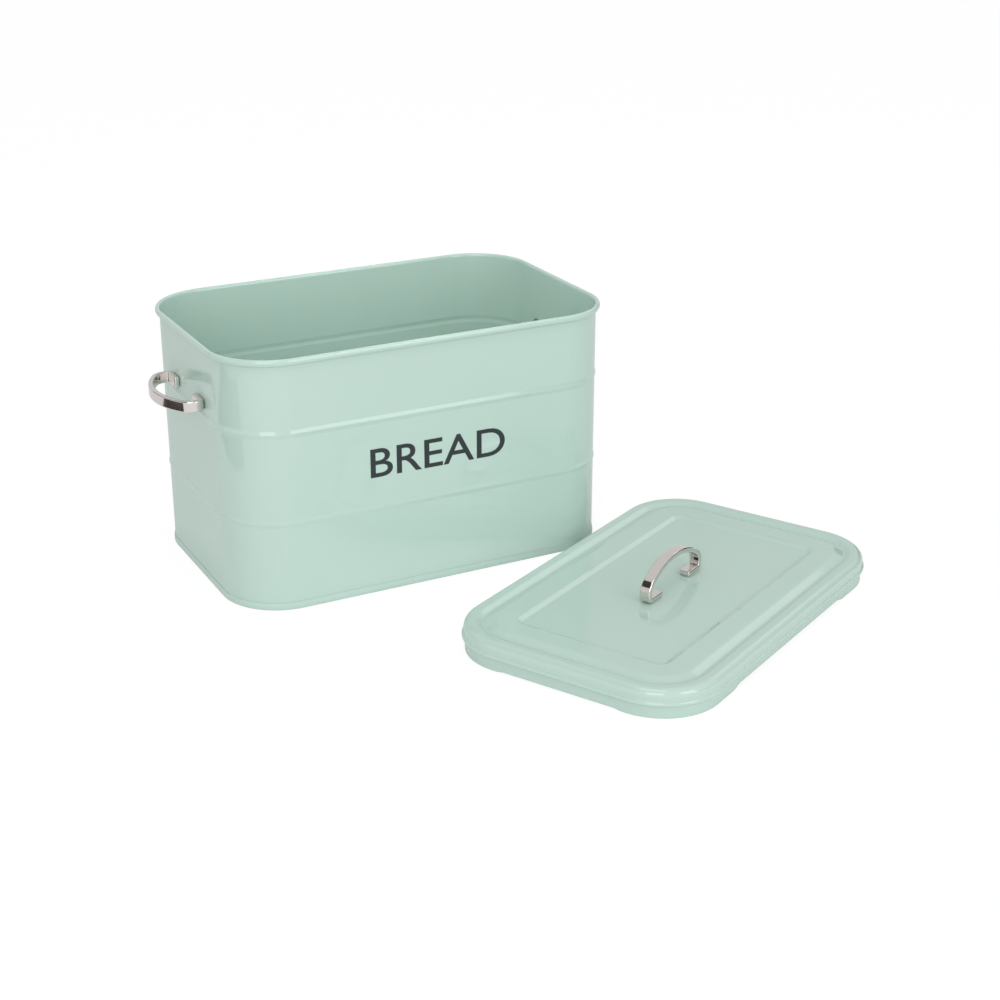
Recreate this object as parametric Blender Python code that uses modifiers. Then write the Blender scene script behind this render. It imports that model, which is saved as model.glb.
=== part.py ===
"""A lidded steel bread bin: open bin, lid lying beside it, strap handles. Metres, +Z up.

The origin is the centre of the bin's base, on the surface it stands on. +X runs along the bin's
length and +Y towards its back. Outlines of the bin and the lid are rounded rectangles that keep a
constant distance from the bin's outer wall, so a section through any wall is given as points
(outward, up): outward from the wall's outer face, and up from the lowest edge, both in millimetres.
"""

import math

import bmesh
import bpy
from mathutils import Matrix, Vector

MM = 0.001

# Bin
LENGTH = 332 * MM            # outer faces of the end walls
DEPTH = 212 * MM             # outer faces of the long walls
HEIGHT = 207 * MM            # floor to the top of the rolled rim
CORNER = 49 * MM             # outer corner radius, seen from above
CORNER_STEPS = 6             # straight pieces in one corner
SHEET = 0.6                  # wall and lid sheet, mm
BASE_SHEET = 0.8             # base sheet, mm
GAP = 0.3                    # clearance between two pieces that touch, mm
BEAD_HEIGHTS = (73, 146.5)   # stiffening beads above the floor, mm
BEAD_HALF = 2.8              # half of a bead's height, mm
BEAD_RISE = 0.7              # how far a bead stands out, mm
RIM_CENTRE = (1.35, 204.25)  # centre of the rolled rim, mm
RIM_HALF = (1.65, 2.45)      # half width and half height of the roll's middle line, mm
WALL_FOOT = 1.2              # lower edge of the wall inside the base seam, mm

# Lid, in its own frame: its lowest edge at 0
LID_PLACE = (137.6 * MM, -241.7 * MM, 0)
LID_TURN = math.radians(28.1)
PANEL_TOP = 20.2             # sunken centre panel, mm
GROOVE_DROP = 0.2            # how far the groove lies below the panel, mm
CURL_CENTRE = (-0.9, 11.6)   # centre of the rolled edge, mm
CURL_RADIUS = 1.8            # middle line of the rolled edge, mm
LUG_START = (92, 52)         # the skirt is cut back inside these half lengths, mm
SKIRT_CUT = (2.4, 1.0)       # how far it is cut back on the long and the short sides, mm

# Strap handle, in its own frame: feet on the plane 0, span along X, rising along Z
STRAP_WIDTH = 9.2 * MM
STRAP_THICK = 4.2 * MM
STRAP_EDGE = 0.9 * MM        # rounding of the strap's long edges
FOOT_TIP = 21.0              # half distance between the foot tips, mm
FOOT_BEND = (36.7, 3.0)      # where the bend starts, and its middle-line radius, mm
LEG_OUT = 39.7               # half span at the shoulders, middle line, mm
LEG_TOP = 8.5                # height at which the shoulder starts, mm
SHOULDER = 8.0               # shoulder radius, mm
RISE = 29.4                  # height of the strap's top face, mm
HANDLE_LIFT = 157.0 * MM     # height of the side handles
SCREW_AT = 30 * MM           # half distance between a handle's two screws

# Fasteners, mm
SHANK = 1.5
HOLE = 1.8
HEAD = (3.0, 2.2)            # radius and height
RECESS = (0.8, 3.6, 1.1)     # width, length and depth of one bar of the cross recess
WASHER = (4.5, 0.8)          # radius and thickness
THREAD_IN = 1.6              # how far the shank reaches into the foot
BLIND_HOLE = 1.9             # depth of the hole in the foot
TURNED_STEPS = 12            # sides of a turned piece

WELD = 0.01 * MM             # points closer than this are one point

GREEN = (0.55, 0.70, 0.63)
NICKEL = (0.72, 0.69, 0.66)
DARK_STEEL = (0.12, 0.12, 0.12)


def start_scene():
    """Empties the scene and returns the collections for parts and cutters."""
    for item in list(bpy.data.objects):
        bpy.data.objects.remove(item, do_unlink=True)
    parts = bpy.data.collections.new("bread_bin")
    cutters = bpy.data.collections.new("cutters")
    bpy.context.scene.collection.children.link(parts)
    bpy.context.scene.collection.children.link(cutters)
    return parts, cutters


def material(name, colour, roughness, metallic):
    made = bpy.data.materials.new(name)
    made.use_nodes = True
    shader = made.node_tree.nodes["Principled BSDF"]
    shader.inputs["Base Color"].default_value = (*colour, 1)
    shader.inputs["Roughness"].default_value = roughness
    shader.inputs["Metallic"].default_value = metallic
    made.diffuse_color = (*colour, 1)
    return made


def add_object(name, data, collection, parent=None, location=(0, 0, 0)):
    made = bpy.data.objects.new(name, data)
    collection.objects.link(made)
    made.parent = parent
    made.location = location
    return made


def arc(centre, radii, first, last, steps):
    """Points on an ellipse from angle first to angle last, in degrees."""
    points = []
    for i in range(steps + 1):
        angle = math.radians(first + (last - first) * i / steps)
        points.append((centre[0] + radii[0] * math.cos(angle), centre[1] + radii[1] * math.sin(angle)))
    return points


def poly_curve(name, points, cyclic):
    """A 3D curve of one straight-sided spline."""
    data = bpy.data.curves.new(name, "CURVE")
    data.dimensions = "3D"
    data.twist_mode = "Z_UP"
    spline = data.splines.new("POLY")
    spline.points.add(len(points) - 1)
    for point, place in zip(spline.points, points):
        point.co = (*place, 1)
    spline.use_cyclic_u = cyclic
    return data


def swept_mesh(name, path, profile):
    """The mesh that a profile curve leaves along a path curve, with its caps welded."""
    rail = bpy.data.objects.new(name + "_rail", path)
    section = bpy.data.objects.new(name + "_section", profile)
    for item in (rail, section):
        bpy.context.scene.collection.objects.link(item)
    path.bevel_mode = "OBJECT"
    path.bevel_object = section
    path.use_fill_caps = True
    bpy.context.view_layer.update()
    graph = bpy.context.evaluated_depsgraph_get()
    mesh = bpy.data.meshes.new_from_object(rail.evaluated_get(graph))
    mesh.name = name
    for item in (rail, section):
        bpy.data.objects.remove(item, do_unlink=True)
    body = bmesh.new()
    body.from_mesh(mesh)
    bmesh.ops.remove_doubles(body, verts=body.verts, dist=WELD)
    bmesh.ops.recalc_face_normals(body, faces=body.faces)
    body.to_mesh(mesh)
    body.free()
    return mesh


def wall_outline():
    """The bin's outer wall seen from above, as the path that every section follows."""
    points = []
    for turn in range(4):
        across = LENGTH / 2 - CORNER if turn in (0, 3) else CORNER - LENGTH / 2
        along = DEPTH / 2 - CORNER if turn in (0, 1) else CORNER - DEPTH / 2
        corner = arc((across, along), (CORNER, CORNER), 90 * turn, 90 * turn + 90, CORNER_STEPS)
        points += [(x, y, 0) for x, y in corner]
    return points


def sheet_ring(name, section, thickness, collection, parent=None, filled=False):
    """Sheet metal that follows the outline, from the middle line of its section in millimetres."""
    profile = poly_curve(name, [(out * MM, up * MM, 0) for out, up in section], False)
    path = poly_curve(name, wall_outline(), True)
    mesh = swept_mesh(name, path, profile)
    if filled:
        fill_inner_edge(mesh)
    ring = add_object(name, mesh, collection, parent)
    solidify = ring.modifiers.new("sheet", "SOLIDIFY")
    solidify.thickness = thickness * MM
    solidify.offset = 0
    solidify.use_even_offset = True
    return ring


def fill_inner_edge(mesh):
    """Closes the smaller of the two open edges with one flat face."""
    body = bmesh.new()
    body.from_mesh(mesh)
    rim = [edge for edge in body.edges if edge.is_boundary]
    reach = min(max(abs(v.co.x) for v in edge.verts) for edge in rim)
    width = {edge: max(abs(v.co.x) for v in edge.verts) for edge in rim}
    height = {round(edge.verts[0].co.z, 6) for edge in rim if width[edge] <= reach + 1e-6}
    level = height.pop()
    inner = [edge for edge in rim if abs(edge.verts[0].co.z - level) < 1e-6]
    bmesh.ops.contextual_create(body, geom=inner)
    bmesh.ops.recalc_face_normals(body, faces=body.faces)
    body.to_mesh(mesh)
    body.free()


def wall_section():
    """Straight wall with two beads, rolled outwards at the top."""
    middle = -SHEET / 2
    points = [(middle, WALL_FOOT)]
    for level in BEAD_HEIGHTS:
        points.append((middle, level - BEAD_HALF))
        points.append((middle + BEAD_RISE * 0.6, level - BEAD_HALF / 2))
        points.append((middle + BEAD_RISE, level))
        points.append((middle + BEAD_RISE * 0.6, level + BEAD_HALF / 2))
        points.append((middle, level + BEAD_HALF))
    return points + arc(RIM_CENTRE, RIM_HALF, 180, -110, 9)


def base_section():
    """Raised floor, then a channel that takes the wall's lower edge and closes on its outside."""
    return [
        (-6, 3.6), (-2.3, 3.6), (-1.6, 3.3), (-1.35, 2.6), (-1.35, 1.0), (-0.95, 0.4),
        (0.35, 0.4), (0.75, 0.9), (0.75, 4.9),
    ]


def cover_section():
    """Sunken panel, flat band, groove, round shoulder and a small rolled edge."""
    panel = PANEL_TOP - SHEET / 2
    top = [
        (-44.6, panel), (-43.4, panel + 0.2), (-39.6, panel + 1.2), (-38.0, panel + 1.4),
        (-21, panel + 1.4), (-16, panel + 0.1), (-14, panel - GROOVE_DROP),
        (-12, panel + 0.4), (-9.6, panel + 1.6), (-7, panel + 2.1), (-4.4, panel + 1.8),
    ]
    side = [(-2.0, panel + 0.5), (-0.7, panel - 1.4), (-0.25, panel - 3.2), (-0.6, panel - 5.2)]
    curl = arc(CURL_CENTRE, (CURL_RADIUS, CURL_RADIUS), 75, -75, 6)
    return top + side + curl


def skirt_section():
    """Upright ring that drops into the bin, with a flange that lies under the cover's groove."""
    flange = PANEL_TOP - SHEET - GAP - SHEET / 2 - GROOVE_DROP
    return [(-1.5, 0), (-1.5, 14), (-2.4, 16), (-4.6, 17.8), (-7.5, flange), (-16, flange)]


def strap_line():
    """The middle line of a handle strap as (span, rise) in millimetres, from tip to tip."""
    half = STRAP_THICK / MM / 2
    top = RISE - half
    across = LEG_OUT - SHOULDER
    drop = top - LEG_TOP
    crown = (across**2 + drop**2 - SHOULDER**2) / (2 * (drop - SHOULDER))
    lean = math.degrees(math.atan2(LEG_TOP - top + crown, across))
    start, bend = FOOT_BEND
    side = [(FOOT_TIP, half)]
    side += arc((start, half + bend), (bend, bend), -90, 0, 3)
    side += arc((across, LEG_TOP), (SHOULDER, SHOULDER), 0, lean, 4)
    side += arc((0, top - crown), (crown, crown), lean, 90, 5)[1:]
    return side + [(-span, rise) for span, rise in reversed(side[:-1])]


def strap_profile():
    """The strap's section, a flat bar with its four edges rounded off."""
    wide = STRAP_WIDTH / 2
    thick = STRAP_THICK / 2
    cut = STRAP_EDGE
    quarter = [(wide, thick - cut), (wide - cut, thick)]
    points = quarter + [(-x, y) for x, y in reversed(quarter)]
    return points + [(-x, -y) for x, y in points]


def cylinder(name, radius, depth, collection, parent, location):
    body = bmesh.new()
    bmesh.ops.create_cone(
        body, cap_ends=True, segments=TURNED_STEPS, radius1=radius * MM, radius2=radius * MM, depth=depth * MM
    )
    mesh = bpy.data.meshes.new(name)
    body.to_mesh(mesh)
    body.free()
    return add_object(name, mesh, collection, parent, location)


def box(name, size, collection, parent, location):
    body = bmesh.new()
    bmesh.ops.create_cube(body, size=1, matrix=Matrix.Diagonal((*size, 1)))
    mesh = bpy.data.meshes.new(name)
    body.to_mesh(mesh)
    body.free()
    return add_object(name, mesh, collection, parent, location)


def cut(piece, cutter):
    """Takes the cutter out of the piece and keeps it out of sight."""
    cutter.hide_render = True
    cutter.display_type = "WIRE"
    boolean = piece.modifiers.new(cutter.name, "BOOLEAN")
    boolean.operation = "DIFFERENCE"
    boolean.solver = "EXACT"
    boolean.object = cutter


def turned(name, profile, collection, parent, location):
    """A turned piece from its outer profile, top to bottom, in millimetres."""
    data = bpy.data.meshes.new(name)
    points = [(radius * MM, 0, up * MM) for radius, up in profile]
    data.from_pydata(points, [(i, i + 1) for i in range(len(points) - 1)], [])
    made = add_object(name, data, collection, parent, location)
    screw = made.modifiers.new("turn", "SCREW")
    screw.steps = TURNED_STEPS
    screw.render_steps = TURNED_STEPS
    screw.use_merge_vertices = True
    screw.merge_threshold = WELD
    return made


def handle_set(name, place, sheet, parts, cutters):
    """A strap handle with its two screws and washers, and the holes that they need."""
    line = poly_curve(name, [(span * MM, 0, rise * MM) for span, rise in strap_line()], False)
    section = poly_curve(name, [(x, y, 0) for x, y in strap_profile()], True)
    handle = add_object(name, swept_mesh(name, line, section), parts, place)
    head_top = -(2 * GAP + SHEET + WASHER[1] + GAP)
    made = []
    for side, label in ((-1, "a"), (1, "b")):
        at = side * SCREW_AT
        hole = cylinder(f"{name}_hole_{label}", HOLE, BLIND_HOLE * 2, cutters, place, (at, 0, 0))
        cut(handle, hole)
        through = cylinder(f"{name}_sheet_hole_{label}", HOLE, 2, cutters, place, (at, 0, -GAP * MM))
        cut(sheet, through)
        screw = turned(
            f"{name}_screw_{label}",
            [
                (0, THREAD_IN), (SHANK, THREAD_IN), (SHANK, head_top), (HEAD[0], head_top),
                (HEAD[0], head_top - HEAD[1] * 0.6), (HEAD[0] * 0.7, head_top - HEAD[1]),
                (0, head_top - HEAD[1]),
            ],
            parts, place, (at, 0, 0),
        )
        recess_up = (head_top - HEAD[1]) * MM
        for bar, size in (("x", RECESS), ("y", (RECESS[1], RECESS[0], RECESS[2]))):
            deep = (size[0] * MM, size[1] * MM, RECESS[2] * 2 * MM)
            slot = box(f"{name}_recess_{label}{bar}", deep, cutters, place, (at, 0, recess_up))
            cut(screw, slot)
        washer_top = -(2 * GAP + SHEET)
        washer = turned(
            f"{name}_washer_{label}",
            [
                (HOLE, washer_top), (WASHER[0], washer_top), (WASHER[0], washer_top - WASHER[1]),
                (HOLE, washer_top - WASHER[1]), (HOLE, washer_top),
            ],
            parts, place, (at, 0, 0),
        )
        made += [screw, washer]
    return handle, made


def empty(name, collection, location, rows=None, parent=None):
    """An empty that carries a frame, whose axes are the columns of rows."""
    made = bpy.data.objects.new(name, None)
    collection.objects.link(made)
    turn = Matrix(rows) if rows else Matrix.Identity(3)
    made.matrix_basis = Matrix.Translation(Vector(location)) @ turn.to_4x4()
    made.parent = parent
    return made


def paint(pieces, finish):
    for piece in pieces:
        piece.data.materials.clear()
        piece.data.materials.append(finish)


def build():
    parts, cutters = start_scene()
    wall = sheet_ring("bin_wall", wall_section(), SHEET, parts)
    base = sheet_ring("bin_base", base_section(), BASE_SHEET, parts, filled=True)

    lid_place = empty("lid_place", parts, LID_PLACE, Matrix.Rotation(LID_TURN, 3, "Z"))
    cover = sheet_ring("lid_cover", cover_section(), SHEET, parts, lid_place, filled=True)
    skirt = sheet_ring("lid_skirt", skirt_section(), SHEET, parts, lid_place)
    long_cut = (LUG_START[0] * 2 * MM, DEPTH * 2, SKIRT_CUT[0] * 2 * MM)
    short_cut = (LENGTH * 2, LUG_START[1] * 2 * MM, SKIRT_CUT[1] * 2 * MM)
    for name, size in (("skirt_cut_long", long_cut), ("skirt_cut_short", short_cut)):
        cut(skirt, box(name, size, cutters, lid_place, (0, 0, 0)))

    out = LENGTH / 2 + GAP * MM
    left_rows = ((0, 0, -1), (-1, 0, 0), (0, 1, 0))
    right_rows = ((0, 0, 1), (1, 0, 0), (0, 1, 0))
    places = (
        ("left_handle", empty("left_handle_place", parts, (-out, 0, HANDLE_LIFT), left_rows), wall),
        ("right_handle", empty("right_handle_place", parts, (out, 0, HANDLE_LIFT), right_rows), wall),
        ("lid_handle", empty("lid_handle_place", parts, (0, 0, (PANEL_TOP + GAP) * MM), None, lid_place), cover),
    )
    handles = []
    fasteners = []
    for name, place, sheet in places:
        handle, small = handle_set(name, place, sheet, parts, cutters)
        handles.append(handle)
        fasteners += small

    paint([wall, base, cover, skirt], material("green_enamel", GREEN, 0.25, 0.0))
    paint(handles, material("bright_nickel", NICKEL, 0.15, 1.0))
    paint(fasteners, material("dark_steel", DARK_STEEL, 0.4, 1.0))


build()
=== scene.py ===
"""The looks of a lidded steel bread bin: enamelled bin and lid, nickel strap handles, screws, lettering.

Metres, +Z up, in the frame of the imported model. Sections are points (outward, up, rounding) in
millimetres: outward from the bin's outer wall, and up from the piece's lowest edge. They follow the
middle line of the sheet.
"""

import math
import bpy
from mathutils import Matrix, Vector


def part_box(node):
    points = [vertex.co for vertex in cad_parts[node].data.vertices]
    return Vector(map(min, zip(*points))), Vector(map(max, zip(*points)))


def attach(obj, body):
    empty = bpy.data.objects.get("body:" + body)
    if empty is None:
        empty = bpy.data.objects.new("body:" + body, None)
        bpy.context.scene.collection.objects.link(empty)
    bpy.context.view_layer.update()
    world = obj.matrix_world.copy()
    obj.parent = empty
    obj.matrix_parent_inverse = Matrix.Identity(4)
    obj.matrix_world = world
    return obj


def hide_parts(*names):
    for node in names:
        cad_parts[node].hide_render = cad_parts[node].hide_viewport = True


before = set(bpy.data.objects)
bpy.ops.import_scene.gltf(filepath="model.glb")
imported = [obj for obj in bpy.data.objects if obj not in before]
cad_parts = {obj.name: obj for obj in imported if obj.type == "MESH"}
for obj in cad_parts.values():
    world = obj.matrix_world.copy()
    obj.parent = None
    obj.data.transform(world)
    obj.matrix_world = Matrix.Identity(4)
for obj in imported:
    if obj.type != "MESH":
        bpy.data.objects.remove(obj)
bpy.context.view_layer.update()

MM = 0.001
WELD = 0.01 * MM       # points closer than this are one point
SHEET = 0.6            # wall and lid sheet, mm
BASE_SHEET = 0.8       # base sheet, mm
RIM_OUT = 3.3          # how far the rolled rim stands out from the wall, mm
CORNER = 49            # outer corner radius of the bin, seen from above, mm
CORNER_STEPS = 30      # faces round one corner
ROUND_STEPS = 6        # faces round one rounded bend of a section

wall_low, wall_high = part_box("bin_wall")
HALF_LENGTH = wall_high.x / MM - RIM_OUT
HALF_DEPTH = wall_high.y / MM - RIM_OUT
HEIGHT = wall_high.z / MM


# ---------------------------------------------------------------- modelling helpers

def deselect():
    bpy.ops.object.select_all(action="DESELECT")


def act_on(piece):
    deselect()
    piece.select_set(True)
    bpy.context.view_layer.objects.active = piece


def edit_all(piece):
    """Edit mode, with the whole piece selected."""
    act_on(piece)
    bpy.ops.object.mode_set(mode="EDIT")
    bpy.ops.mesh.select_all(action="SELECT")


def leave_edit():
    bpy.ops.object.mode_set(mode="OBJECT")


def start_from_plane(name, size=1.0):
    """A new plane primitive, in edit mode, all selected."""
    deselect()
    bpy.ops.mesh.primitive_plane_add(size=size)
    piece = bpy.context.object
    piece.name = name
    piece.data.name = name
    bpy.ops.object.mode_set(mode="EDIT")
    bpy.ops.mesh.select_mode(type="VERT")
    bpy.ops.mesh.select_all(action="SELECT")
    return piece


def extrude(step):
    """Extrudes what is selected by a step in millimetres."""
    bpy.ops.mesh.extrude_region_move(TRANSFORM_OT_translate={"value": Vector(step) * MM})


def weld_all():
    bpy.ops.mesh.select_all(action="SELECT")
    bpy.ops.mesh.remove_doubles(threshold=WELD)


def face_outward():
    bpy.ops.mesh.select_all(action="SELECT")
    bpy.ops.mesh.normals_make_consistent(inside=False)


def select_open_edges():
    bpy.ops.mesh.select_mode(type="EDGE")
    bpy.ops.mesh.select_all(action="DESELECT")
    bpy.ops.mesh.select_non_manifold(
        use_wire=False, use_boundary=True, use_multi_face=False, use_non_contiguous=False, use_verts=False
    )


def apply_modifier(piece, modifier):
    act_on(piece)
    bpy.ops.object.modifier_apply(modifier=modifier.name)


def mirror_half(piece):
    """Adds the other half, across X = 0, and joins the two."""
    mirror = piece.modifiers.new("mirror", "MIRROR")
    mirror.use_axis = (True, False, False)
    mirror.merge_threshold = 2 * WELD
    apply_modifier(piece, mirror)


def rounded(points, steps=ROUND_STEPS):
    """The outline with each corner that has a rounding made an arc, as plain (outward, up) points."""
    line = []
    for i, (out, up, radius) in enumerate(points):
        here = Vector((out, up))
        if radius == 0 or i in (0, len(points) - 1):
            line.append(here)
            continue
        back = (Vector(points[i - 1][:2]) - here).normalized()
        on = (Vector(points[i + 1][:2]) - here).normalized()
        half = back.angle(on) / 2
        reach = radius / math.tan(half)
        centre = here + (back + on).normalized() * (radius / math.sin(half))
        first = here + back * reach - centre
        last = here + on * reach - centre
        sweep = first.angle_signed(last)
        for k in range(steps + 1):
            turn = Matrix.Rotation(-sweep * k / steps, 2)
            line.append(centre + turn @ first)
    return line


def arc(centre, radii, first, last, steps):
    """Points on an ellipse from angle first to angle last, in degrees."""
    line = []
    for i in range(steps + 1):
        angle = math.radians(first + (last - first) * i / steps)
        out = centre[0] + radii[0] * math.cos(angle)
        up = centre[1] + radii[1] * math.sin(angle)
        line.append(Vector((out, up)))
    return line


def follow_outline(name, section, side_stops=(), end_stops=()):
    """A sheet ring: its section drawn at the front, run along half of the outline, and mirrored.

    The stops divide the straight runs, in millimetres from their middle.
    """
    piece = start_from_plane(name)
    bpy.ops.mesh.merge(type="CENTER")
    first = section[0]
    bpy.ops.transform.translate(value=(0, -(HALF_DEPTH + first[0]) * MM, first[1] * MM))
    for last, here in zip(section, section[1:]):
        extrude((0, last[0] - here[0], here[1] - last[1]))
    bpy.ops.mesh.select_all(action="SELECT")
    along = HALF_LENGTH - CORNER
    across = HALF_DEPTH - CORNER

    def run(direction, marks):
        for start, end in zip(marks, marks[1:]):
            extrude(Vector(direction) * (end - start))

    def turn(centre):
        bpy.ops.mesh.spin(
            steps=CORNER_STEPS, angle=math.pi / 2, center=Vector(centre) * MM, axis=(0, 0, -1)
        )

    run((1, 0, 0), [0, *side_stops, along])
    turn((along, -across, 0))
    ends = [across - stop for stop in reversed(end_stops)] + [across + stop for stop in end_stops]
    run((0, 1, 0), [0, *ends, 2 * across])
    turn((along, across, 0))
    run((-1, 0, 0), [0, *(along - stop for stop in reversed(side_stops)), along])
    weld_all()
    leave_edit()
    mirror_half(piece)
    return piece


SAME_LEVEL = 0.01      # two heights closer than this are one, mm
BORDER = 2             # narrow faces that keep a wide flat face apart from the bend round it, mm


def fill_floor(piece, level):
    """Closes the inner edge of a ring, which lies at this height in millimetres, with one flat face."""
    edit_all(piece)
    select_open_edges()
    leave_edit()
    mesh = piece.data
    for edge in mesh.edges:
        ends = [mesh.vertices[v].co for v in edge.vertices]
        if any(abs(end.z / MM - level) > SAME_LEVEL for end in ends):
            edge.select = False
    bpy.ops.object.mode_set(mode="EDIT")
    bpy.ops.mesh.edge_face_add()
    bpy.ops.mesh.inset(thickness=BORDER * MM)
    leave_edit()


def give_thickness(piece, thickness):
    """Makes an open sheet a closed one of this thickness in millimetres."""
    edit_all(piece)
    face_outward()
    leave_edit()
    solidify = piece.modifiers.new("sheet", "SOLIDIFY")
    solidify.thickness = thickness * MM
    solidify.offset = 0
    solidify.use_even_offset = True
    apply_modifier(piece, solidify)


def shade(piece, angle=35):
    """Smooth bends between flats that stay flat. Edges sharper than the angle, in degrees, stay sharp."""
    act_on(piece)
    bpy.ops.object.shade_smooth_by_angle(angle=math.radians(angle))
    weighted = piece.modifiers.new("flats", "WEIGHTED_NORMAL")
    weighted.keep_sharp = True
    apply_modifier(piece, weighted)


def set_down(piece, matrix):
    """Puts a finished piece in its place, and the place in its mesh."""
    piece.matrix_world = matrix
    act_on(piece)
    bpy.ops.object.transform_apply(location=True, rotation=True, scale=True)


def copy_of(piece, name):
    made = piece.copy()
    made.data = piece.data.copy()
    made.name = name
    made.data.name = name
    bpy.context.scene.collection.objects.link(made)
    return made


def settle(piece, finish, body, slot, *nodes):
    """Gives a piece its material and its body, and hides the nodes that it stands for. The slot is not used.
    """
    piece.data.materials.clear()
    piece.data.materials.append(finish)
    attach(piece, body)
    if nodes:
        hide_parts(*nodes)


# ---------------------------------------------------------------- places of the handles and the lid

def middle(node_name):
    low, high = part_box(node_name)
    return (low + high) / 2


def screw_line(handle):
    """The middle point between a handle's two screws, and the direction from one to the other."""
    first = middle(f"{handle}_screw_a")
    second = middle(f"{handle}_screw_b")
    return (first + second) / 2, (second - first).normalized()


def lid_matrix():
    """The lid's own frame: its lowest edge at 0, +X along its length."""
    centre, along = screw_line("lid_handle")
    angle = math.atan2(along.y, along.x)
    return Matrix.Translation((centre.x, centre.y, 0)) @ Matrix.Rotation(angle, 4, "Z")


def handle_matrix(handle, rise):
    """A handle's own frame: feet on the plane 0, span along X, rising along Z."""
    centre, along = screw_line(handle)
    low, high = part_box(handle)
    rise = Vector(rise)
    foot = low if sum(rise) > 0 else high
    centre = centre - rise * (centre - foot).dot(rise)
    across = rise.cross(along)
    turn = Matrix((along, across, rise)).transposed().to_4x4()
    return Matrix.Translation(centre) @ turn


# ---------------------------------------------------------------- materials

def node(tree, kind, **values):
    made = tree.nodes.new(kind)
    for key, value in values.items():
        setattr(made, key, value)
    return made


def shader_of(material):
    return material.node_tree.nodes["Principled BSDF"]


def shader_group(name, inputs, outputs):
    """A node group with these input values and outputs, and its input and output nodes."""
    group = bpy.data.node_groups.new(name, "ShaderNodeTree")
    for label, kind, value in inputs:
        socket = group.interface.new_socket(label, in_out="INPUT", socket_type=kind)
        socket.default_value = value
    for label, kind in outputs:
        group.interface.new_socket(label, in_out="OUTPUT", socket_type=kind)
    return group, group.nodes.new("NodeGroupInput"), group.nodes.new("NodeGroupOutput")


def maths(tree, operation, first, second):
    """One sum, difference or product. Each of its terms is a socket or a number."""
    made = node(tree, "ShaderNodeMath", operation=operation)
    for place, term in zip(made.inputs, (first, second)):
        if isinstance(term, bpy.types.NodeSocket):
            tree.links.new(term, place)
        else:
            place.default_value = term
    return made.outputs[0]


def place_noise(tree, scale, detail):
    """Noise over the object's own coordinates, with a feature size of 1 / scale metres."""
    coordinates = node(tree, "ShaderNodeTexCoord")
    noise = node(tree, "ShaderNodeTexNoise")
    noise.inputs["Scale"].default_value = scale
    noise.inputs["Detail"].default_value = detail
    tree.links.new(coordinates.outputs["Object"], noise.inputs["Vector"])
    return noise.outputs["Fac"]


NOISE_MIDDLE = 0.5


def make_tone_group():
    """Slow drift of a colour, as sprayed paint has from one part to the next."""
    group, given, out = shader_group(
        "tone_drift",
        [("Color", "NodeSocketColor", (0.5, 0.5, 0.5, 1)), ("Amount", "NodeSocketFloat", 0.03)],
        [("Color", "NodeSocketColor")],
    )
    drift = maths(group, "SUBTRACT", place_noise(group, 14, 3), NOISE_MIDDLE)
    drift = maths(group, "MULTIPLY", drift, given.outputs["Amount"])
    tint = node(group, "ShaderNodeHueSaturation")
    group.links.new(maths(group, "ADD", drift, 1.0), tint.inputs["Value"])
    group.links.new(given.outputs["Color"], tint.inputs["Color"])
    group.links.new(tint.outputs["Color"], out.inputs["Color"])
    return group


def make_peel_group():
    """Orange peel: the faint ripple of a baked coat, with a slower wave of the sheet under it."""
    group, given, out = shader_group(
        "coat_ripple",
        [("Ripple", "NodeSocketFloat", 0.1), ("Wave", "NodeSocketFloat", 0.1)],
        [("Height", "NodeSocketFloat")],
    )
    fine = maths(group, "MULTIPLY", place_noise(group, 420, 2), given.outputs["Ripple"])
    slow = maths(group, "MULTIPLY", place_noise(group, 9, 1), given.outputs["Wave"])
    group.links.new(maths(group, "ADD", fine, slow), out.inputs["Height"])
    return group


def make_smudge_group():
    """Roughness that varies where hands and cloths have been."""
    group, given, out = shader_group(
        "handling_marks",
        [("Roughness", "NodeSocketFloat", 0.2), ("Spread", "NodeSocketFloat", 0.05)],
        [("Roughness", "NodeSocketFloat")],
    )
    drift = maths(group, "SUBTRACT", place_noise(group, 38, 4), NOISE_MIDDLE)
    drift = maths(group, "MULTIPLY", drift, given.outputs["Spread"])
    group.links.new(maths(group, "ADD", drift, given.outputs["Roughness"]), out.inputs["Roughness"])
    return group


TONE = make_tone_group()
PEEL = make_peel_group()
SMUDGE = make_smudge_group()


def use_group(tree, group, **values):
    made = node(tree, "ShaderNodeGroup", node_tree=group)
    for label, value in values.items():
        made.inputs[label].default_value = value
    return made


def finish_material(name, colour, metallic, roughness, drift, spread, ripple, wave, bump_depth):
    """A material with drifting colour, handled gloss and a faint ripple, its depth in metres."""
    made = bpy.data.materials.new(name)
    made.use_nodes = True
    tree = made.node_tree
    shader = shader_of(made)
    shader.inputs["Metallic"].default_value = metallic
    tone = use_group(tree, TONE, Color=(*colour, 1), Amount=drift)
    smudge = use_group(tree, SMUDGE, Roughness=roughness, Spread=spread)
    peel = use_group(tree, PEEL, Ripple=ripple, Wave=wave)
    bump = node(tree, "ShaderNodeBump")
    bump.inputs["Distance"].default_value = bump_depth
    bump.inputs["Strength"].default_value = 1.0
    tree.links.new(tone.outputs["Color"], shader.inputs["Base Color"])
    tree.links.new(smudge.outputs["Roughness"], shader.inputs["Roughness"])
    tree.links.new(peel.outputs["Height"], bump.inputs["Height"])
    tree.links.new(bump.outputs["Normal"], shader.inputs["Normal"])
    return made


# The lid's step edge: a thin dark line of painted shade, broken by darker stretches of chipped coat.
CHIP_AND_SHADE_COLOUR = (0.07, 0.09, 0.09, 1)
CHIP_NOISE = (0.54, 0.60)    # the line is thin below the first level of noise, and full above the second
SHADE_AND_CHIP_SHARE = (0.22, 0.85)    # how much of the dark colour shows in the thin line of painted shade and in the full stretches of chipped coat


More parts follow.
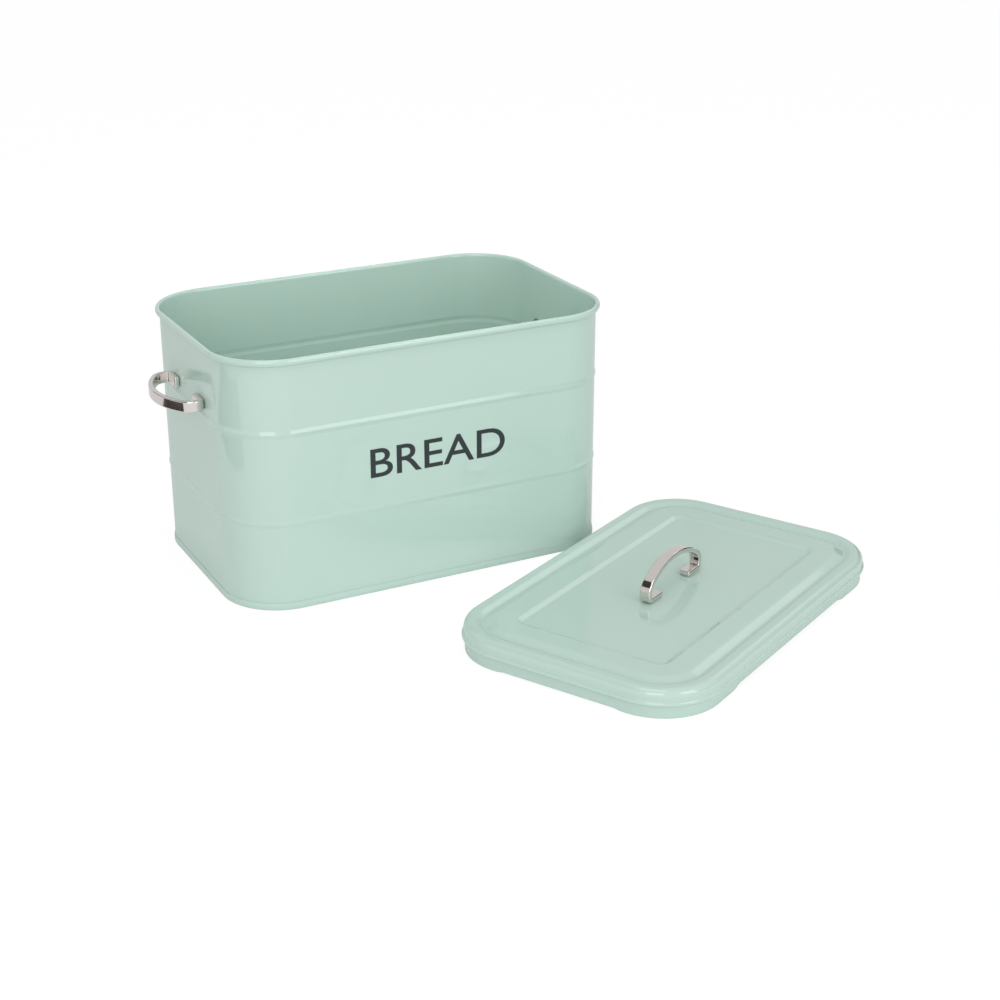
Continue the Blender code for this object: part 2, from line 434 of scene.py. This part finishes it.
def add_step_shade_and_chips(material):
    """Darkens the marked edges: a thin line of painted shade all along, with broken darker stretches of
    painted chips.
    """
    tree = material.node_tree
    shader = shader_of(material)
    tone = shader.inputs["Base Color"].links[0].from_socket
    marked = node(tree, "ShaderNodeAttribute", attribute_name="step_shade_and_chips")
    broken = node(tree, "ShaderNodeMapRange")
    broken.inputs["From Min"].default_value, broken.inputs["From Max"].default_value = CHIP_NOISE
    broken.inputs["To Min"].default_value, broken.inputs["To Max"].default_value = SHADE_AND_CHIP_SHARE
    tree.links.new(place_noise(tree, 46, 4), broken.inputs["Value"])
    mix = node(tree, "ShaderNodeMix", data_type="RGBA")
    mix.inputs["B"].default_value = CHIP_AND_SHADE_COLOUR
    share = maths(tree, "MULTIPLY", broken.outputs["Result"], marked.outputs["Fac"])
    tree.links.new(share, mix.inputs["Factor"])
    tree.links.new(tone, mix.inputs["A"])
    tree.links.new(mix.outputs["Result"], shader.inputs["Base Color"])


enamel = finish_material(
    "sage_enamel", colour=(0.500, 0.658, 0.590), metallic=0.0, roughness=0.07,
    drift=0.04, spread=0.03, ripple=0.06, wave=1.0, bump_depth=0.03 * MM,
)
shader_of(enamel).inputs["IOR"].default_value = 1.6
# painted shade line and chips along the lid's step edge
add_step_shade_and_chips(enamel)
nickel = finish_material(
    "bright_nickel", colour=(0.78, 0.735, 0.70), metallic=1.0, roughness=0.11,
    drift=0.04, spread=0.06, ripple=0.3, wave=0.3, bump_depth=0.02 * MM,
)
zinc = finish_material(
    "dark_zinc", colour=(0.33, 0.33, 0.34), metallic=1.0, roughness=0.32,
    drift=0.1, spread=0.1, ripple=0.5, wave=0.3, bump_depth=0.03 * MM,
)
ink = finish_material(
    "charcoal_ink", colour=(0.018, 0.026, 0.030), metallic=0.0, roughness=0.38,
    drift=0.1, spread=0.06, ripple=0.4, wave=0.2, bump_depth=0.02 * MM,
)


# ---------------------------------------------------------------- the bin

BEADS = (73, 146.5)    # heights of the wall's stiffening beads, mm
BEAD_HALF = 3.2        # half of a bead's height, mm
BEAD_PEAK = 0.75       # how far a bead stands out, before its rounding, mm
WALL_FOOT = 1.2        # lower edge of the wall, inside the base's channel, mm
ROLL_START = 8         # where the wall's straight part ends, below the top, mm
FLOOR = 3.6            # the base panel, mm


def make_bin_wall():
    """Wall sheet with two rolled beads and a hollow rolled rim."""
    face = -SHEET / 2
    section = [(face, WALL_FOOT, 0)]
    for level in BEADS:
        section += [
            (face, level - BEAD_HALF, 1.5), (face + BEAD_PEAK, level, 1.6), (face, level + BEAD_HALF, 1.5),
        ]
    section = rounded(section + [(face, HEIGHT - ROLL_START, 0)], 4)
    section += arc((1.35, HEIGHT - 2.75), (1.65, 2.45), 180, -112, 26)
    piece = follow_outline("bin_wall_sheet", section)
    give_thickness(piece, SHEET)
    shade(piece)
    return piece


def make_bin_base():
    """Base panel with the channel that closes on the wall's lower edge."""
    section = rounded([
        (-9, FLOOR, 0), (-1.35, FLOOR, 0.9), (-1.35, 0.4, 0.5), (0.40, 0.4, 0.9), (0.55, 3.4, 1.6),
        (0.05, 6.2, 0),
    ])
    piece = follow_outline("bin_base_pan", section)
    fill_floor(piece, FLOOR)
    give_thickness(piece, BASE_SHEET)
    shade(piece)
    return piece


# ---------------------------------------------------------------- the lid

PANEL = 19.9                # the sunken panel, mm
BAND = 22.0                 # the raised band round it, mm
GROOVE = 19.2               # bottom of the groove round the band, before its rounding, mm
STEP_EDGE = (-41.0, -39.75)    # the upper edge of the step up to the band lies between these, mm
NEAR_SIDES = 40             # how far the two near sides (-X and -Y), which take the strongest painted shade, reach inward, mm
NEAR_SIDE_MARK = 1.0                  # how strongly the step's edge is darkened on those sides, by painted shade and chips
FAR_SIDE_MARK = 0.12          # and on the other two

SKIRT = -1.5                # the skirt's upright part, mm
LONG_CUT = (2.4, 88, 12)    # its long sides: cut back by, inside this half length, with this slope, mm
SHORT_CUT = (1.0, 50, 8)    # the same for its short sides
SLOPE_STEPS = 6             # faces along one slope of the skirt's lower edge


def make_lid_cover():
    """Sunken panel, band, groove and round shoulder, ending in a small rolled edge."""
    section = rounded([
        (-47, PANEL, 0), (-44.6, PANEL, 2), (-40.4, BAND, 3), (-23.5, BAND, 12), (-15, GROOVE, 2.8),
        (-10.2, BAND, 4.5), (-0.1, 22.6, 5.4), (-0.6, 14.4, 1.5), (-0.43, 13.34, 0),
    ], 8)
    section += arc((-0.9, 11.6), (1.8, 1.8), 75, -75, 16)
    piece = follow_outline("lid_cover_sheet", section)
    fill_floor(piece, PANEL)
    give_thickness(piece, SHEET)
    mark_step(piece)
    shade(piece)
    return piece


def outward(x, y):
    """How far a point stands outside the bin's outline seen from above, all in mm."""
    beyond_x = abs(x) - (HALF_LENGTH - CORNER)
    beyond_y = abs(y) - (HALF_DEPTH - CORNER)
    if beyond_x > 0 and beyond_y > 0:
        return math.hypot(beyond_x, beyond_y) - CORNER
    return max(beyond_x, beyond_y) - CORNER


def mark_step(piece):
    """Marks the edge of the step round the panel for a painted shade line and chipped coat, most on the two
    near sides (-X and -Y).
    """
    layer = piece.data.attributes.new("step_shade_and_chips", "FLOAT", "POINT")
    inner, outer = STEP_EDGE
    for vertex, mark in zip(piece.data.vertices, layer.data):
        x = vertex.co.x / MM
        y = vertex.co.y / MM
        if inner < outward(x, y) < outer:
            # painted shade: the step's edge is darkest on the two sides facing the camera, -X and -Y
            on_near_side = x < NEAR_SIDES - HALF_LENGTH or y < NEAR_SIDES - HALF_DEPTH
            mark.value = NEAR_SIDE_MARK if on_near_side else FAR_SIDE_MARK


def make_lid_skirt():
    """Upright ring under the lid, cut back between its four corner lugs."""
    section = rounded([(SKIRT, 0, 0), (SKIRT, 5, 0), (SKIRT, 18.0, 4.0), (-16, 18.8, 0)])
    piece = follow_outline("lid_skirt_ring", section, slope_stops(LONG_CUT), slope_stops(SHORT_CUT))
    raise_straight_sides(piece)
    give_thickness(piece, SHEET)
    shade(piece)
    return piece


def slope_stops(cut):
    """Where a straight side is divided so that its lower edge can slope, as distances from the middle."""
    _, half, slope = cut
    return [half - slope / 2 + slope * i / SLOPE_STEPS for i in range(SLOPE_STEPS + 1)]


def raise_straight_sides(piece):
    """Lifts the skirt's lower edge between the corner lugs, easing in along each slope."""
    for vertex in piece.data.vertices:
        if vertex.co.z > 1 * MM:
            continue
        on_long_side = abs(vertex.co.y) / MM > HALF_DEPTH - 5
        depth, half, slope = LONG_CUT if on_long_side else SHORT_CUT
        from_middle = abs(vertex.co.x if on_long_side else vertex.co.y) / MM
        share = min(max((half + slope / 2 - from_middle) / slope, 0), 1)
        vertex.co.z += depth * MM * share * share * (3 - 2 * share)


# ---------------------------------------------------------------- handles

STRAP_WIDE = 9.2
STRAP_THICK = 4.2
STRAP_EDGE = 1.1         # rounding of the strap's edges, mm
FOOT_TIP = 21.0          # half distance between the foot tips, mm
FOOT_BEND = (36.7, 3.0)  # where the bend from foot to leg starts, and its middle-line radius, mm
LEG_OUT = 39.7           # half span at the legs, middle line, mm
LEG_TOP = 7.5            # height at which the shoulder starts, mm
SHOULDER = 10.5          # radius of the shoulder, middle line, mm
RISE = 29.4              # height of the strap's top face, mm


def make_strap():
    """A flat bar bent to a bow with its feet turned in, drawn as one half and mirrored."""
    piece = start_from_plane("strap")
    half = STRAP_THICK / 2
    top = RISE - half
    across = LEG_OUT - SHOULDER
    drop = top - LEG_TOP
    crown = (across**2 + drop**2 - SHOULDER**2) / (2 * (drop - SHOULDER))
    lean = math.atan2(LEG_TOP - top + crown, across)
    start, bend = FOOT_BEND
    bpy.ops.transform.resize(value=(STRAP_THICK * MM, STRAP_WIDE * MM, 1))
    bpy.ops.transform.rotate(value=math.pi / 2, orient_axis="Y", center_override=(0, 0, 0))
    bpy.ops.transform.translate(value=(FOOT_TIP * MM, 0, half * MM))
    bpy.ops.mesh.delete(type="ONLY_FACE")
    bpy.ops.mesh.select_mode(type="EDGE")
    bpy.ops.mesh.select_all(action="SELECT")
    extrude((start - FOOT_TIP, 0, 0))

    def bow(centre, angle, steps):
        bpy.ops.mesh.spin(
            steps=steps, angle=angle, center=Vector((centre[0], 0, centre[1])) * MM, axis=(0, 1, 0)
        )

    bow((start, half + bend), math.pi / 2, 8)
    extrude((LEG_OUT - start - bend, 0, LEG_TOP - half - bend))
    bow((across, LEG_TOP), lean, 10)
    bow((0, top - crown), math.pi / 2 - lean, 20)
    leave_edit()
    mirror_half(piece)
    edit_all(piece)
    weld_all()
    select_open_edges()
    bpy.ops.mesh.edge_face_add()
    face_outward()
    leave_edit()
    bevel = piece.modifiers.new("edges", "BEVEL")
    bevel.width = STRAP_EDGE * MM
    bevel.segments = 5
    bevel.limit_method = "ANGLE"
    bevel.angle_limit = math.radians(50)
    apply_modifier(piece, bevel)
    shade(piece, 40)
    return piece


# ---------------------------------------------------------------- screws and washers

SCREW_AT = 30            # half distance between a handle's two screws, mm
HEAD_TOP = -2.3          # upper face of a screw head in the handle's frame, mm
HEAD = (3.0, 2.2)        # its radius and height, mm
SHANK = 1.5              # radius of the shank, mm
THREAD_IN = 1.6          # how far the shank reaches into the foot, mm
RECESS = (0.75, 3.4, 1.1)    # width, length and depth of one bar of the cross recess, mm
WASHER = (4.5, 0.8)      # radius and thickness, mm
HOLE = 1.8               # radius of the washer's hole, mm
GAP = 0.3                # between the head and the washer, mm
TURNED_STEPS = 40        # faces round a turned piece


def make_turned(name, profile):
    """A turned piece: its profile (radius, up, rounding) in millimetres, spun round Z."""
    piece = start_from_plane(name)
    bpy.ops.mesh.merge(type="CENTER")
    line = rounded(profile, 4)
    bpy.ops.transform.translate(value=(line[0][0] * MM, 0, line[0][1] * MM))
    for last, here in zip(line, line[1:]):
        extrude((here[0] - last[0], 0, here[1] - last[1]))
    bpy.ops.mesh.select_all(action="SELECT")
    bpy.ops.mesh.spin(steps=TURNED_STEPS, angle=2 * math.pi, center=(0, 0, 0), axis=(0, 0, 1))
    weld_all()
    face_outward()
    leave_edit()
    return piece


def make_screw():
    """Pan-head machine screw with a cross recess, its shank reaching into the foot."""
    radius, height = HEAD
    low = HEAD_TOP - height
    piece = make_turned("screw", [
        (0, THREAD_IN, 0), (SHANK, THREAD_IN, 0.3), (SHANK, HEAD_TOP, 0), (radius, HEAD_TOP, 0.2),
        (radius, low + 0.3, 1.2), (0.9, low, 0.2), (0, low, 0),
    ])
    wide, long, deep = RECESS
    for size in ((wide, long, 2 * deep), (long, wide, 2 * deep)):
        deselect()
        bpy.ops.mesh.primitive_cube_add(size=1, location=(0, 0, low * MM), scale=Vector(size) * MM)
        cutter = bpy.context.object
        recess = piece.modifiers.new("recess", "BOOLEAN")
        recess.object = cutter
        recess.operation = "DIFFERENCE"
        apply_modifier(piece, recess)
        bpy.data.objects.remove(cutter)
    shade(piece, 30)
    return piece


def make_washer():
    """A flat washer, just above the screw's head."""
    radius, thickness = WASHER
    low = HEAD_TOP + GAP
    top = low + thickness
    piece = make_turned("washer", [
        (HOLE, top, 0), (radius, top, 0.25), (radius, low, 0.25), (HOLE, low, 0), (HOLE, top, 0),
    ])
    shade(piece, 30)
    return piece


# ---------------------------------------------------------------- lettering

WORD_HIGH = 24.0         # height of the capitals, mm
WORD_LONG = 118.6        # length of the word, mm
WORD_MIDDLE = (2.5, 110.6)   # its middle: right of the wall's middle, and above the floor, mm
PRINT_THICK = 0.1        # how far the print stands out, mm
STROKE_GAIN = 0.2        # how much wider each side of a stroke is made, mm
CAPITAL_SHARE = 0.729    # height of a capital as a share of the letters' nominal size


def make_word():
    """The contents word in plain block capitals, printed on the front wall."""
    deselect()
    bpy.ops.object.text_add()
    piece = bpy.context.object
    piece.name = "contents_word"
    piece.data.body = "BREAD"
    piece.data.extrude = PRINT_THICK * MM
    piece.data.offset = STROKE_GAIN * MM
    piece.data.size = WORD_HIGH * MM / CAPITAL_SHARE
    piece.data.resolution_u = 6
    bpy.ops.object.convert(target="MESH")
    piece = bpy.context.object
    low = Vector([min(v.co[i] for v in piece.data.vertices) for i in range(3)])
    high = Vector([max(v.co[i] for v in piece.data.vertices) for i in range(3)])
    size = high - low
    fit = Matrix.Diagonal((WORD_LONG * MM / size.x, WORD_HIGH * MM / size.y, 1, 1))
    centre = Matrix.Translation(-(low + high) / 2)
    across, up = WORD_MIDDLE
    upright = Matrix.Rotation(math.pi / 2, 4, "X")
    place = Matrix.Translation((across * MM, -HALF_DEPTH * MM, up * MM)) @ upright
    set_down(piece, place @ fit @ centre)
    edit_all(piece)
    weld_all()
    face_outward()
    leave_edit()
    return piece


# ---------------------------------------------------------------- build

wall = make_bin_wall()
settle(wall, enamel, "bin", "enamel", "bin_wall")
base = make_bin_base()
settle(base, enamel, "bin", "enamel", "bin_base")

lid_place = lid_matrix()
cover = make_lid_cover()
set_down(cover, lid_place)
settle(cover, enamel, "lid", "enamel", "lid_cover")
skirt = make_lid_skirt()
set_down(skirt, lid_place)
settle(skirt, enamel, "lid", "enamel", "lid_skirt")

strap = make_strap()
screw = make_screw()
washer = make_washer()
for handle, rise, body in (
    ("left_handle", (-1, 0, 0), "bin"),
    ("right_handle", (1, 0, 0), "bin"),
    ("lid_handle", (0, 0, 1), "lid"),
):
    place = handle_matrix(handle, rise)
    bow = copy_of(strap, f"{handle}_strap")
    set_down(bow, place)
    settle(bow, nickel, body, "nickel", handle)
    for label, at in (("a", -SCREW_AT), ("b", SCREW_AT)):
        shift = place @ Matrix.Translation((at * MM, 0, 0))
        for kind, model in (("screw", screw), ("washer", washer)):
            made = copy_of(model, f"{handle}_{kind}_{label}_fine")
            set_down(made, shift)
            settle(made, zinc, body, "fastener", f"{handle}_{kind}_{label}")
for model in (strap, screw, washer):
    bpy.data.objects.remove(model)

word = make_word()
settle(word, ink, "bin", "enamel")


# ---------------------------------------------------------------- floor, light, camera

WHITE = (1, 1, 1, 1)
BACKDROP = 1.05                 # brightness of the floor's glow and of what lies behind the object
STUDIO = 0.69                   # brightness of the surroundings that light the object
CENTRE = (0.05, -0.1, 0.1)      # middle of the bin and lid together, m
LID_CENTRE = (0.14, -0.24, 0.03)
LIGHT_AWAY = 2.2                # distance of the standing lights from the centre, m
CARD_COLOUR = (0.045, 0.034, 0.028, 1)

CAMERA_AIM = Vector((0.0444, -0.1307, 0.07))
CAMERA_AZIMUTH = -27.65         # degrees
CAMERA_ELEVATION = 22.45        # degrees
CAMERA_AWAY = 1.4669            # m
FOCAL_LENGTH = 65.83            # mm, for a picture 36 mm wide


def make_floor():
    """A pale floor that looks close to white, and takes only a faint shadow."""
    deselect()
    bpy.ops.mesh.primitive_plane_add(size=24, location=(0, 0, 0))
    floor = bpy.context.object
    floor.name = "floor"
    made = bpy.data.materials.new("pale_floor")
    made.use_nodes = True
    tree = made.node_tree
    shader = shader_of(made)
    shader.inputs["Base Color"].default_value = (0.9, 0.9, 0.9, 1)
    shader.inputs["Roughness"].default_value = 0.9
    shader.inputs["Specular IOR Level"].default_value = 0.1
    glow = node(tree, "ShaderNodeEmission")
    glow.inputs["Color"].default_value = WHITE
    glow.inputs["Strength"].default_value = BACKDROP
    path = node(tree, "ShaderNodeLightPath")
    mix = node(tree, "ShaderNodeMixShader")
    tree.links.new(maths(tree, "MULTIPLY", path.outputs["Is Camera Ray"], 0.86), mix.inputs["Fac"])
    tree.links.new(shader.outputs["BSDF"], mix.inputs[1])
    tree.links.new(glow.outputs["Emission"], mix.inputs[2])
    tree.links.new(mix.outputs["Shader"], tree.nodes["Material Output"].inputs["Surface"])
    floor.data.materials.append(made)


def around(azimuth, elevation, distance=LIGHT_AWAY, centre=CENTRE):
    """A place round the object: azimuth 0 is in front, 90 to its right, in degrees."""
    turn = math.radians(azimuth)
    tilt = math.radians(elevation)
    flat = distance * math.cos(tilt)
    return Vector(centre) + Vector((flat * math.sin(turn), -flat * math.cos(turn), distance * math.sin(tilt)))


def facing(place, target):
    return (Vector(target) - Vector(place)).to_track_quat("-Z", "Y").to_euler()


def softbox(name, place, size, power, target=CENTRE, spread=180):
    """A rectangular light, its size in metres, its power in watts and its spread in degrees."""
    lamp = bpy.data.lights.new(name, "AREA")
    lamp.shape = "RECTANGLE"
    lamp.size, lamp.size_y = size
    lamp.energy = power
    lamp.spread = math.radians(spread)
    made = bpy.data.objects.new(name, lamp)
    bpy.context.scene.collection.objects.link(made)
    made.location = place
    made.rotation_euler = facing(place, target)


def card(name, place, size, target):
    """A dark card that only reflections see, turned to face the target."""
    deselect()
    bpy.ops.mesh.primitive_plane_add(size=1)
    made = bpy.context.object
    made.name = name
    made.scale = (*size, 1)
    made.location = place
    made.rotation_euler = facing(place, target)
    matt = bpy.data.materials.new(name)
    matt.use_nodes = True
    shader_of(matt).inputs["Base Color"].default_value = CARD_COLOUR
    shader_of(matt).inputs["Roughness"].default_value = 1.0
    made.data.materials.append(matt)
    made.visible_camera = False
    made.visible_diffuse = False
    made.visible_shadow = False


def make_world():
    """An even white studio, a little dimmer on the object than it looks behind it."""
    world = bpy.data.worlds.new("studio")
    world.use_nodes = True
    tree = world.node_tree
    studio = tree.nodes["Background"]
    studio.inputs["Color"].default_value = WHITE
    studio.inputs["Strength"].default_value = STUDIO
    behind = node(tree, "ShaderNodeBackground")
    behind.inputs["Color"].default_value = WHITE
    behind.inputs["Strength"].default_value = BACKDROP
    path = node(tree, "ShaderNodeLightPath")
    mix = node(tree, "ShaderNodeMixShader")
    tree.links.new(path.outputs["Is Camera Ray"], mix.inputs["Fac"])
    tree.links.new(studio.outputs["Background"], mix.inputs[1])
    tree.links.new(behind.outputs["Background"], mix.inputs[2])
    tree.links.new(mix.outputs["Shader"], tree.nodes["World Output"].inputs["Surface"])
    bpy.context.scene.world = world


def make_camera():
    """Looks down on the bin's front and left end, from its front left."""
    lens = bpy.data.cameras.new("camera")
    lens.lens = FOCAL_LENGTH
    lens.sensor_width = 36
    made = bpy.data.objects.new("camera", lens)
    bpy.context.scene.collection.objects.link(made)
    made.location = around(CAMERA_AZIMUTH, CAMERA_ELEVATION, CAMERA_AWAY, CAMERA_AIM)
    made.rotation_euler = facing(made.location, CAMERA_AIM)
    bpy.context.scene.camera = made


make_floor()
softbox("key_left", around(-36, 20), (1.0, 1.2), 9.0)
softbox("fill_right", around(16, 20), (0.9, 1.2), 7.6)
softbox("strip_right", around(107, 36.5), (0.6, 0.5), 0.75)
softbox("overhead", (-0.35, -0.55, 1.7), (0.9, 0.6), 3.2)
softbox("into_bin", (0, 0, 1.3), (0.2, 0.12), 0.10, target=(0, 0, 0), spread=16)
card("high_left_card", (-1.18, -0.07, 1.37), (1.4, 1.3), LID_CENTRE)
card("front_right_card", (1.65, -1.51, 0.35), (1.8, 0.62), LID_CENTRE)
card("back_left_card", (-1.66, 1.28, 0.55), (1.7, 0.55), (-0.18, 0, 0.15))
card("right_card", (2.1, -0.1, 0.44), (3.0, 0.85), (0, -0.1, 0.44))
card("floor_card", (-0.585, 0.055, 0.002), (0.27, 0.41), (-0.585, 0.055, 2.0))
make_world()
make_camera()
bpy.context.scene.view_settings.view_transform = "Standard"
